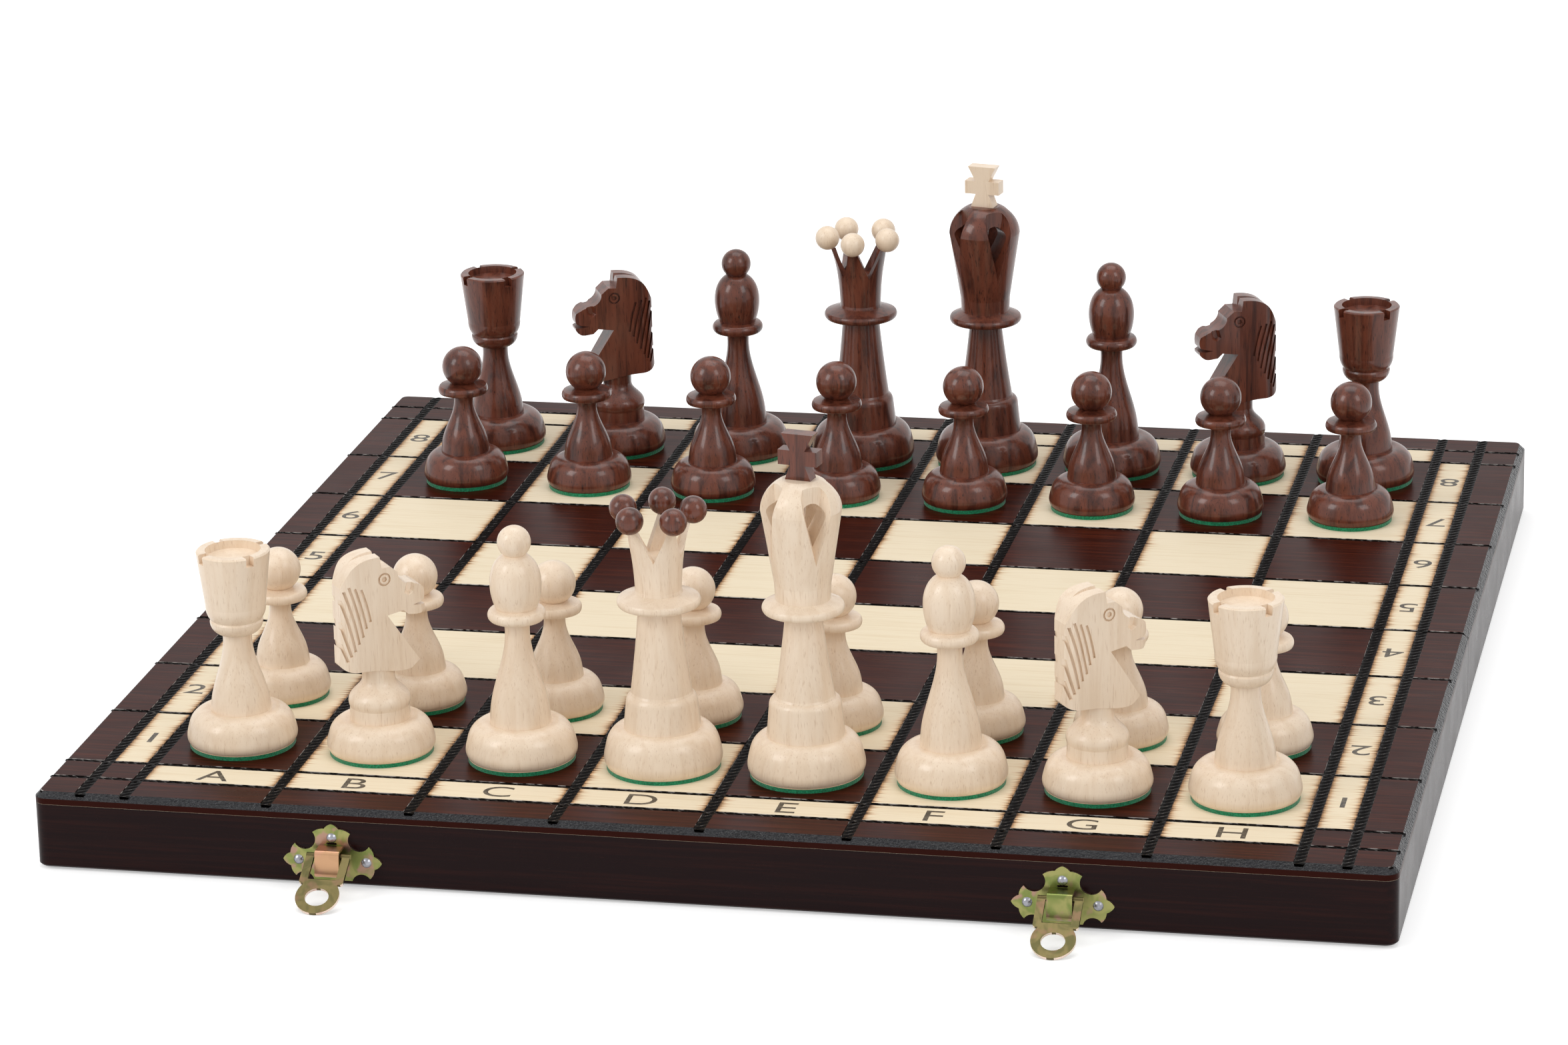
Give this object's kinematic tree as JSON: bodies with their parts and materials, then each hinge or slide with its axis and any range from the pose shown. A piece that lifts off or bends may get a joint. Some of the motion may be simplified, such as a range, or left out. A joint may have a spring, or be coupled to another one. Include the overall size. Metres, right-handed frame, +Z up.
{
  "type": "folding chess box with men",
  "caption": "Folding wooden chess box standing open as a board, grooved squares, swing latches, hinges let into the rims, and turned and carved men with felt feet.",
  "frame": {"origin": "middle of the hinge axis, in the plane of the rims that the open box stands on", "axes": "+X along the fold towards the h file, +Y across the fold towards the eighth rank, +Z up out of the playing surface"},
  "size_m": [0.3534, 0.3788, 0.1137],
  "materials": {
    "board_panel": "gloss lacquer",
    "walls": "dark stain under lacquer",
    "light_men": "clear lacquer",
    "dark_men": "dark stain under lacquer",
    "latches": "yellow zinc plated steel",
    "nails": "bright steel",
    "hinges": "rolled brass"
  },
  "bodies": {
    "far_half": {"catch_nails": "nails", "far_board_panel": "board_panel", "far_hinge_wall": "walls", "far_leaf_nails": "hinges", "far_left_wall": "walls", "far_outer_wall": "walls", "far_right_wall": "walls", "left_catch_plate": "latches", "left_hinge_far_leaf": "hinges", "left_hinge_pin": "hinges", "right_catch_plate": "latches", "right_hinge_far_leaf": "hinges", "right_hinge_pin": "hinges"},
    "near_half": {"latch_nails": "nails", "left_hinge_near_leaf": "hinges", "left_latch_plate": "latches", "near_board_panel": "board_panel", "near_hinge_wall": "walls", "near_leaf_nails": "hinges", "near_left_wall": "walls", "near_outer_wall": "walls", "near_right_wall": "walls", "right_hinge_near_leaf": "hinges", "right_latch_plate": "latches"},
    "left_lever": {"left_latch_lever": "latches"},
    "right_lever": {"right_latch_lever": "latches"},
    "dark_bishop_c": {"dark_bishop_c": "dark_men"},
    "dark_bishop_f": {"dark_bishop_f": "dark_men"},
    "dark_king": {"dark_king": "dark_men"},
    "dark_knight_b": {"dark_knight_b": "dark_men"},
    "dark_knight_g": {"dark_knight_g": "dark_men"},
    "dark_pawn_a": {"dark_pawn_a": "dark_men"},
    "dark_pawn_b": {"dark_pawn_b": "dark_men"},
    "dark_pawn_c": {"dark_pawn_c": "dark_men"},
    "dark_pawn_d": {"dark_pawn_d": "dark_men"},
    "dark_pawn_e": {"dark_pawn_e": "dark_men"},
    "dark_pawn_f": {"dark_pawn_f": "dark_men"},
    "dark_pawn_g": {"dark_pawn_g": "dark_men"},
    "dark_pawn_h": {"dark_pawn_h": "dark_men"},
    "dark_queen": {"dark_queen": "dark_men"},
    "dark_rook_a": {"dark_rook_a": "dark_men"},
    "dark_rook_h": {"dark_rook_h": "dark_men"},
    "light_bishop_c": {"light_bishop_c": "light_men"},
    "light_bishop_f": {"light_bishop_f": "light_men"},
    "light_king": {"light_king": "light_men"},
    "light_knight_b": {"light_knight_b": "light_men"},
    "light_knight_g": {"light_knight_g": "light_men"},
    "light_pawn_a": {"light_pawn_a": "light_men"},
    "light_pawn_b": {"light_pawn_b": "light_men"},
    "light_pawn_c": {"light_pawn_c": "light_men"},
    "light_pawn_d": {"light_pawn_d": "light_men"},
    "light_pawn_e": {"light_pawn_e": "light_men"},
    "light_pawn_f": {"light_pawn_f": "light_men"},
    "light_pawn_g": {"light_pawn_g": "light_men"},
    "light_pawn_h": {"light_pawn_h": "light_men"},
    "light_queen": {"light_queen": "light_men"},
    "light_rook_a": {"light_rook_a": "light_men"},
    "light_rook_h": {"light_rook_h": "light_men"}
  },
  "joints": [
    {"name": "fold", "type": "hinge", "parent": "far_half", "child": "near_half", "pos_m": [0, 0, 0], "axis": [1, 0, 0], "range_deg": [0, 180]},
    {"name": "left_latch_swing", "type": "hinge", "parent": "near_half", "child": "left_lever", "pos_m": [-0.0963, -0.1803, 0.0091], "axis": [1, 0, 0], "range_deg": [-110, 60]},
    {"name": "right_latch_swing", "type": "hinge", "parent": "near_half", "child": "right_lever", "pos_m": [0.0931, -0.1803, 0.0091], "axis": [1, 0, 0], "range_deg": [-110, 60]},
    {"name": "lift_dark_bishop_c", "type": "slide", "parent": "far_half", "child": "dark_bishop_c", "axis": [0, 0, 1], "range_m": [0, 0.12]},
    {"name": "lift_dark_bishop_f", "type": "slide", "parent": "far_half", "child": "dark_bishop_f", "axis": [0, 0, 1], "range_m": [0, 0.12]},
    {"name": "lift_dark_king", "type": "slide", "parent": "far_half", "child": "dark_king", "axis": [0, 0, 1], "range_m": [0, 0.12]},
    {"name": "lift_dark_knight_b", "type": "slide", "parent": "far_half", "child": "dark_knight_b", "axis": [0, 0, 1], "range_m": [0, 0.12]},
    {"name": "lift_dark_knight_g", "type": "slide", "parent": "far_half", "child": "dark_knight_g", "axis": [0, 0, 1], "range_m": [0, 0.12]},
    {"name": "lift_dark_pawn_a", "type": "slide", "parent": "far_half", "child": "dark_pawn_a", "axis": [0, 0, 1], "range_m": [0, 0.12]},
    {"name": "lift_dark_pawn_b", "type": "slide", "parent": "far_half", "child": "dark_pawn_b", "axis": [0, 0, 1], "range_m": [0, 0.12]},
    {"name": "lift_dark_pawn_c", "type": "slide", "parent": "far_half", "child": "dark_pawn_c", "axis": [0, 0, 1], "range_m": [0, 0.12]},
    {"name": "lift_dark_pawn_d", "type": "slide", "parent": "far_half", "child": "dark_pawn_d", "axis": [0, 0, 1], "range_m": [0, 0.12]},
    {"name": "lift_dark_pawn_e", "type": "slide", "parent": "far_half", "child": "dark_pawn_e", "axis": [0, 0, 1], "range_m": [0, 0.12]},
    {"name": "lift_dark_pawn_f", "type": "slide", "parent": "far_half", "child": "dark_pawn_f", "axis": [0, 0, 1], "range_m": [0, 0.12]},
    {"name": "lift_dark_pawn_g", "type": "slide", "parent": "far_half", "child": "dark_pawn_g", "axis": [0, 0, 1], "range_m": [0, 0.12]},
    {"name": "lift_dark_pawn_h", "type": "slide", "parent": "far_half", "child": "dark_pawn_h", "axis": [0, 0, 1], "range_m": [0, 0.12]},
    {"name": "lift_dark_queen", "type": "slide", "parent": "far_half", "child": "dark_queen", "axis": [0, 0, 1], "range_m": [0, 0.12]},
    {"name": "lift_dark_rook_a", "type": "slide", "parent": "far_half", "child": "dark_rook_a", "axis": [0, 0, 1], "range_m": [0, 0.12]},
    {"name": "lift_dark_rook_h", "type": "slide", "parent": "far_half", "child": "dark_rook_h", "axis": [0, 0, 1], "range_m": [0, 0.12]},
    {"name": "lift_light_bishop_c", "type": "slide", "parent": "near_half", "child": "light_bishop_c", "axis": [0, 0, 1], "range_m": [0, 0.12]},
    {"name": "lift_light_bishop_f", "type": "slide", "parent": "near_half", "child": "light_bishop_f", "axis": [0, 0, 1], "range_m": [0, 0.12]},
    {"name": "lift_light_king", "type": "slide", "parent": "near_half", "child": "light_king", "axis": [0, 0, 1], "range_m": [0, 0.12]},
    {"name": "lift_light_knight_b", "type": "slide", "parent": "near_half", "child": "light_knight_b", "axis": [0, 0, 1], "range_m": [0, 0.12]},
    {"name": "lift_light_knight_g", "type": "slide", "parent": "near_half", "child": "light_knight_g", "axis": [0, 0, 1], "range_m": [0, 0.12]},
    {"name": "lift_light_pawn_a", "type": "slide", "parent": "near_half", "child": "light_pawn_a", "axis": [0, 0, 1], "range_m": [0, 0.12]},
    {"name": "lift_light_pawn_b", "type": "slide", "parent": "near_half", "child": "light_pawn_b", "axis": [0, 0, 1], "range_m": [0, 0.12]},
    {"name": "lift_light_pawn_c", "type": "slide", "parent": "near_half", "child": "light_pawn_c", "axis": [0, 0, 1], "range_m": [0, 0.12]},
    {"name": "lift_light_pawn_d", "type": "slide", "parent": "near_half", "child": "light_pawn_d", "axis": [0, 0, 1], "range_m": [0, 0.12]},
    {"name": "lift_light_pawn_e", "type": "slide", "parent": "near_half", "child": "light_pawn_e", "axis": [0, 0, 1], "range_m": [0, 0.12]},
    {"name": "lift_light_pawn_f", "type": "slide", "parent": "near_half", "child": "light_pawn_f", "axis": [0, 0, 1], "range_m": [0, 0.12]},
    {"name": "lift_light_pawn_g", "type": "slide", "parent": "near_half", "child": "light_pawn_g", "axis": [0, 0, 1], "range_m": [0, 0.12]},
    {"name": "lift_light_pawn_h", "type": "slide", "parent": "near_half", "child": "light_pawn_h", "axis": [0, 0, 1], "range_m": [0, 0.12]},
    {"name": "lift_light_queen", "type": "slide", "parent": "near_half", "child": "light_queen", "axis": [0, 0, 1], "range_m": [0, 0.12]},
    {"name": "lift_light_rook_a", "type": "slide", "parent": "near_half", "child": "light_rook_a", "axis": [0, 0, 1], "range_m": [0, 0.12]},
    {"name": "lift_light_rook_h", "type": "slide", "parent": "near_half", "child": "light_rook_h", "axis": [0, 0, 1], "range_m": [0, 0.12]}
  ]
}
